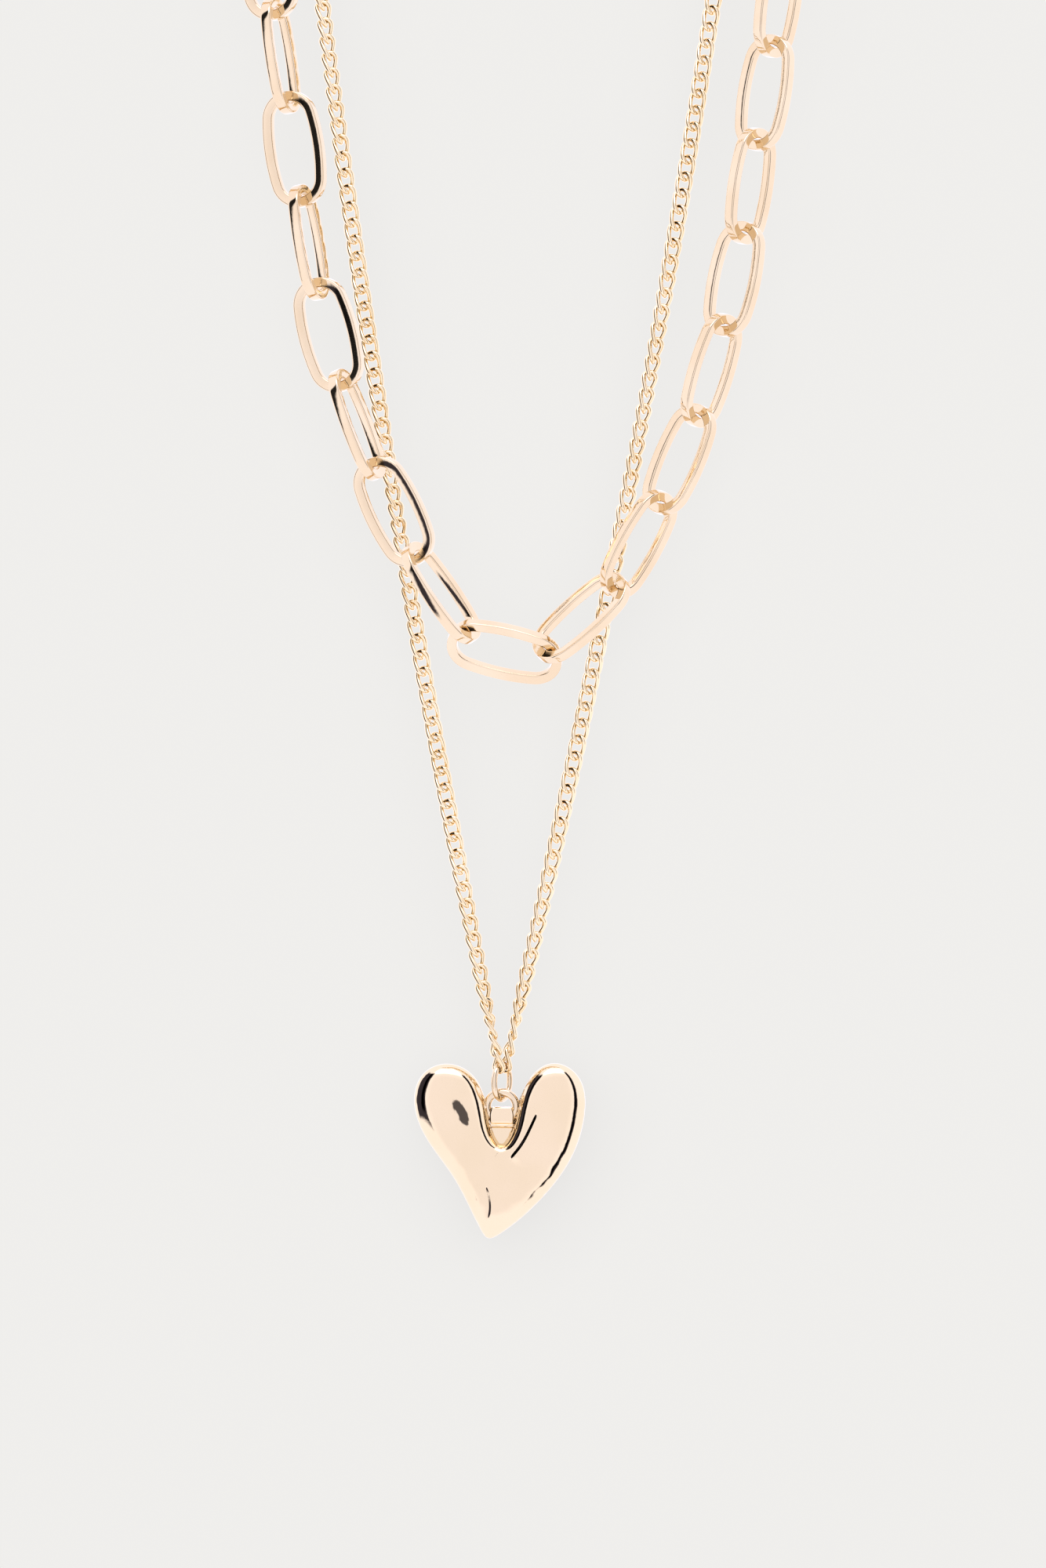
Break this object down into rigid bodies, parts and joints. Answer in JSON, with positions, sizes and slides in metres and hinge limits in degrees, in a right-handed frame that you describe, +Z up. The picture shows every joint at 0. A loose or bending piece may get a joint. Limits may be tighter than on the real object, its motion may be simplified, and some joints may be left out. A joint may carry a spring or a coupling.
{
  "type": "pendant necklace",
  "caption": "Two-strand plated necklace: a paperclip-link strand over a longer curb chain that carries a puffed heart pendant, with lobster clasp and extender.",
  "frame": {"origin": "point on the clasp where the necklace hangs, in the middle between its two flat strand planes", "axes": "+Z up along the hanging necklace, -Y towards the front (the paperclip strand is in front), +X to the wearer-facing viewer's right"},
  "size_m": [0.0864, 0.0119, 0.2457],
  "materials": {
    "rose_gold_plate": "bright rose-gold plate, mirror polished",
    "curb_plate": "bright rose-gold plate on fine drawn wire",
    "heart_plate": "bright rose-gold plate over a puffed casting",
    "spring_steel": "plain spring steel"
  },
  "bodies": {
    "closure": {"clasp_body": "rose_gold_plate", "clasp_pivot_pin": "spring_steel", "clasp_spring": "spring_steel", "left_connector_ring": "rose_gold_plate", "right_connector_ring": "rose_gold_plate"},
    "clasp_trigger": {"clasp_trigger": "rose_gold_plate"},
    "paperclip_rung_16": {"paperclip_upper_pair_16": "rose_gold_plate"},
    "paperclip_rung_15": {"paperclip_upper_pair_15": "rose_gold_plate"},
    "paperclip_rung_14": {"paperclip_upper_pair_14": "rose_gold_plate"},
    "paperclip_rung_13": {"paperclip_upper_pair_13": "rose_gold_plate"},
    "paperclip_rung_12": {"paperclip_upper_pair_12": "rose_gold_plate"},
    "paperclip_rung_11": {"paperclip_upper_pair_11": "rose_gold_plate"},
    "paperclip_rung_10": {"paperclip_upper_pair_10": "rose_gold_plate"},
    "paperclip_rung_09": {"paperclip_upper_pair_09": "rose_gold_plate"},
    "paperclip_rung_08": {"paperclip_upper_pair_08": "rose_gold_plate"},
    "paperclip_rung_07": {"paperclip_left_link_7": "rose_gold_plate", "paperclip_right_link_7": "rose_gold_plate"},
    "paperclip_rung_06": {"paperclip_left_link_6": "rose_gold_plate", "paperclip_right_link_6": "rose_gold_plate"},
    "paperclip_rung_05": {"paperclip_left_link_5": "rose_gold_plate", "paperclip_right_link_5": "rose_gold_plate"},
    "paperclip_rung_04": {"paperclip_left_link_4": "rose_gold_plate", "paperclip_right_link_4": "rose_gold_plate"},
    "paperclip_rung_03": {"paperclip_left_link_3": "rose_gold_plate", "paperclip_right_link_3": "rose_gold_plate"},
    "paperclip_rung_02": {"paperclip_left_link_2": "rose_gold_plate", "paperclip_right_link_2": "rose_gold_plate"},
    "paperclip_rung_01": {"paperclip_left_link_1": "rose_gold_plate", "paperclip_right_link_1": "rose_gold_plate"},
    "paperclip_bottom": {"paperclip_bottom_link": "rose_gold_plate"},
    "curb_rung_01": {"curb_section_01": "curb_plate", "left_curb_end_ring": "rose_gold_plate", "right_curb_end_ring": "rose_gold_plate"},
    "curb_rung_02": {"curb_section_02": "curb_plate"},
    "curb_rung_03": {"curb_section_03": "curb_plate"},
    "curb_rung_04": {"curb_section_04": "curb_plate"},
    "curb_rung_05": {"curb_section_05": "curb_plate"},
    "curb_rung_06": {"curb_section_06": "curb_plate"},
    "curb_rung_07": {"curb_section_07": "curb_plate"},
    "curb_rung_08": {"curb_section_08": "curb_plate"},
    "curb_rung_09": {"curb_section_09": "curb_plate"},
    "curb_rung_10": {"curb_section_10": "curb_plate"},
    "curb_rung_11": {"curb_section_11": "curb_plate"},
    "curb_rung_12": {"curb_section_12": "curb_plate"},
    "pendant_ring": {"pendant_ring": "rose_gold_plate"},
    "heart": {"heart_pendant": "heart_plate", "heart_loop": "heart_plate"},
    "extender_1": {"extender_segment_1": "rose_gold_plate"},
    "extender_2": {"extender_segment_2": "rose_gold_plate"},
    "extender_3": {"extender_segment_3": "rose_gold_plate"},
    "extender_4": {"extender_segment_4": "rose_gold_plate"},
    "extender_5": {"extender_segment_5": "rose_gold_plate"},
    "extender_tag": {"extender_tag": "rose_gold_plate"},
    "extender_charm": {"extender_charm": "rose_gold_plate"}
  },
  "joints": [
    {"name": "clasp_trigger_pivot", "type": "hinge", "parent": "closure", "child": "clasp_trigger", "pos_m": [0.00215, 0, 0.00045], "axis": [0, 1, 0], "range_deg": [0, 18]},
    {"name": "front_swing", "type": "hinge", "parent": "closure", "child": "paperclip_rung_16", "pos_m": [0.002, -0.0026, 0], "axis": [1, 0, 0], "range_deg": [-20, 0]},
    {"name": "front_fold_15", "type": "hinge", "parent": "paperclip_rung_16", "child": "paperclip_rung_15", "pos_m": [0.00193, -0.0026, -0.00138], "axis": [0.9995, 0, -0.0305], "range_deg": [-6, 0]},
    {"name": "front_fold_14", "type": "hinge", "parent": "paperclip_rung_15", "child": "paperclip_rung_14", "pos_m": [0.0016, -0.0026, -0.00646], "axis": [0.9991, 0, -0.0421], "range_deg": [0, 6]},
    {"name": "front_fold_13", "type": "hinge", "parent": "paperclip_rung_14", "child": "paperclip_rung_13", "pos_m": [0.00097, -0.0026, -0.01711], "axis": [0.999, 0, -0.0456], "range_deg": [-8, 0]},
    {"name": "front_fold_12", "type": "hinge", "parent": "paperclip_rung_13", "child": "paperclip_rung_12", "pos_m": [0.00041, -0.0026, -0.02745], "axis": [0.9989, 0, -0.0459], "range_deg": [0, 8]},
    {"name": "front_fold_11", "type": "hinge", "parent": "paperclip_rung_12", "child": "paperclip_rung_11", "pos_m": [0.0002, -0.0026, -0.04083], "axis": [0.9989, 0, -0.047], "range_deg": [-20, 0]},
    {"name": "front_fold_10", "type": "hinge", "parent": "paperclip_rung_11", "child": "paperclip_rung_10", "pos_m": [0.00034, -0.0026, -0.05126], "axis": [0.9988, 0, -0.0496], "range_deg": [0, 20]},
    {"name": "front_fold_09", "type": "hinge", "parent": "paperclip_rung_10", "child": "paperclip_rung_09", "pos_m": [0.00049, -0.0026, -0.06456], "axis": [0.9986, 0, -0.053], "range_deg": [-24, 0]},
    {"name": "front_fold_08", "type": "hinge", "parent": "paperclip_rung_09", "child": "paperclip_rung_08", "pos_m": [0.00062, -0.0026, -0.07499], "axis": [0.9984, 0, -0.056], "range_deg": [0, 24]},
    {"name": "front_fold_07", "type": "hinge", "parent": "paperclip_rung_08", "child": "paperclip_rung_07", "pos_m": [0.00077, -0.0026, -0.0883], "axis": [0.9982, 0, -0.0603], "range_deg": [-24, 0]},
    {"name": "front_fold_06", "type": "hinge", "parent": "paperclip_rung_07", "child": "paperclip_rung_06", "pos_m": [0.0009, -0.0026, -0.09873], "axis": [0.998, 0, -0.064], "range_deg": [0, 24]},
    {"name": "front_fold_05", "type": "hinge", "parent": "paperclip_rung_06", "child": "paperclip_rung_05", "pos_m": [0.00105, -0.0026, -0.11203], "axis": [0.9976, 0, -0.0693], "range_deg": [-24, 0]},
    {"name": "front_fold_04", "type": "hinge", "parent": "paperclip_rung_05", "child": "paperclip_rung_04", "pos_m": [0.00103, -0.0026, -0.12242], "axis": [0.9973, 0, -0.0741], "range_deg": [0, 24]},
    {"name": "front_fold_03", "type": "hinge", "parent": "paperclip_rung_04", "child": "paperclip_rung_03", "pos_m": [0.00096, -0.0026, -0.13537], "axis": [0.9964, 0, -0.0851], "range_deg": [-22, 0]},
    {"name": "front_fold_02", "type": "hinge", "parent": "paperclip_rung_03", "child": "paperclip_rung_02", "pos_m": [0.00089, -0.0026, -0.14519], "axis": [0.9949, 0, -0.1012], "range_deg": [0, 22]},
    {"name": "front_fold_01", "type": "hinge", "parent": "paperclip_rung_02", "child": "paperclip_rung_01", "pos_m": [0.0008, -0.0026, -0.15715], "axis": [0.9892, 0, -0.1463], "range_deg": [-16, 0]},
    {"name": "bottom_link_roll", "type": "hinge", "parent": "paperclip_rung_01", "child": "paperclip_bottom", "pos_m": [-0.00013, -0.0026, -0.16551], "axis": [0.9789, 0, -0.2042], "range_deg": [-12, 12]},
    {"name": "back_swing", "type": "hinge", "parent": "closure", "child": "curb_rung_01", "pos_m": [0.002, 0.0026, 0], "axis": [1, 0, 0], "range_deg": [0, 20]},
    {"name": "back_fold_02", "type": "hinge", "parent": "curb_rung_01", "child": "curb_rung_02", "pos_m": [0.00139, 0.0026, -0.00697], "axis": [0.9986, 0, -0.0534], "range_deg": [0, 10]},
    {"name": "back_fold_03", "type": "hinge", "parent": "curb_rung_02", "child": "curb_rung_03", "pos_m": [-0.00011, 0.0026, -0.02573], "axis": [0.9996, 0, -0.0284], "range_deg": [-10, 0]},
    {"name": "back_fold_04", "type": "hinge", "parent": "curb_rung_03", "child": "curb_rung_04", "pos_m": [-0.00013, 0.0026, -0.04494], "axis": [0.9995, 0, -0.0312], "range_deg": [0, 15]},
    {"name": "back_fold_05", "type": "hinge", "parent": "curb_rung_04", "child": "curb_rung_05", "pos_m": [-0.00014, 0.0026, -0.06414], "axis": [0.9994, 0, -0.0347], "range_deg": [-15, 0]},
    {"name": "back_fold_06", "type": "hinge", "parent": "curb_rung_05", "child": "curb_rung_06", "pos_m": [-0.00014, 0.0026, -0.08335], "axis": [0.9992, 0, -0.039], "range_deg": [0, 15]},
    {"name": "back_fold_07", "type": "hinge", "parent": "curb_rung_06", "child": "curb_rung_07", "pos_m": [-0.00031, 0.0026, -0.10361], "axis": [0.9957, 0, -0.0926], "range_deg": [-15, 0]},
    {"name": "back_fold_08", "type": "hinge", "parent": "curb_rung_07", "child": "curb_rung_08", "pos_m": [-0.00016, 0.0026, -0.12384], "axis": [0.9986, 0, -0.0528], "range_deg": [0, 15]},
    {"name": "back_fold_09", "type": "hinge", "parent": "curb_rung_08", "child": "curb_rung_09", "pos_m": [-0.00018, 0.0026, -0.14296], "axis": [0.9979, 0, -0.0644], "range_deg": [-15, 0]},
    {"name": "back_fold_10", "type": "hinge", "parent": "curb_rung_09", "child": "curb_rung_10", "pos_m": [-0.00019, 0.0026, -0.16205], "axis": [0.9965, 0, -0.0834], "range_deg": [-15, 15]},
    {"name": "back_fold_11", "type": "hinge", "parent": "curb_rung_10", "child": "curb_rung_11", "pos_m": [0, 0.0026, -0.18215], "axis": [1, 0, 0.0029], "range_deg": [-15, 15]},
    {"name": "back_fold_12", "type": "hinge", "parent": "curb_rung_11", "child": "curb_rung_12", "pos_m": [0, 0.0026, -0.20116], "axis": [0.9999, 0.0145, 0.0027], "range_deg": [-15, 15]},
    {"name": "pendant_ring_swing", "type": "hinge", "parent": "curb_rung_12", "child": "pendant_ring", "pos_m": [0, 0.0026, -0.21981], "axis": [0.4226, 0.9063, 0], "range_deg": [-20, 20]},
    {"name": "heart_swing", "type": "hinge", "parent": "pendant_ring", "child": "heart", "pos_m": [0, 0.0026, -0.22412], "axis": [0.4226, 0.9063, 0], "range_deg": [-30, 30]},
    {"name": "extender_swing_1", "type": "hinge", "parent": "closure", "child": "extender_1", "pos_m": [0.0099, 0, 0], "axis": [0, 1, 0], "range_deg": [-15, 15]},
    {"name": "extender_swing_2", "type": "hinge", "parent": "extender_1", "child": "extender_2", "pos_m": [0.0099, 0, -0.0056], "axis": [1, 0, 0], "range_deg": [-20, 20]},
    {"name": "extender_swing_3", "type": "hinge", "parent": "extender_2", "child": "extender_3", "pos_m": [0.0099, 0, -0.0131], "axis": [0, 1, 0], "range_deg": [-15, 15]},
    {"name": "extender_swing_4", "type": "hinge", "parent": "extender_3", "child": "extender_4", "pos_m": [0.0099, 0, -0.0188], "axis": [1, 0, 0], "range_deg": [-20, 20]},
    {"name": "extender_swing_5", "type": "hinge", "parent": "extender_4", "child": "extender_5", "pos_m": [0.0099, 0, -0.0263], "axis": [0, 1, 0], "range_deg": [-15, 15]},
    {"name": "extender_tag_swing", "type": "hinge", "parent": "extender_5", "child": "extender_tag", "pos_m": [0.0099, 0, -0.0329], "axis": [0, 1, 0], "range_deg": [-20, 20]},
    {"name": "charm_swing", "type": "hinge", "parent": "extender_tag", "child": "extender_charm", "pos_m": [0.0099, 0, -0.0399], "axis": [0, 1, 0], "range_deg": [-35, 35]}
  ],
  "couplings": [
    {"joint": "front_fold_14", "follows": "front_fold_15", "ratio": -1},
    {"joint": "front_fold_12", "follows": "front_fold_13", "ratio": -1},
    {"joint": "front_fold_10", "follows": "front_fold_11", "ratio": -1},
    {"joint": "front_fold_08", "follows": "front_fold_09", "ratio": -1},
    {"joint": "front_fold_06", "follows": "front_fold_07", "ratio": -1},
    {"joint": "front_fold_04", "follows": "front_fold_05", "ratio": -1},
    {"joint": "front_fold_02", "follows": "front_fold_03", "ratio": -1},
    {"joint": "back_fold_03", "follows": "back_fold_02", "ratio": -1},
    {"joint": "back_fold_05", "follows": "back_fold_04", "ratio": -1},
    {"joint": "back_fold_07", "follows": "back_fold_06", "ratio": -1},
    {"joint": "back_fold_09", "follows": "back_fold_08", "ratio": -1},
    {"joint": "back_fold_11", "follows": "back_fold_10", "ratio": -1}
  ]
}
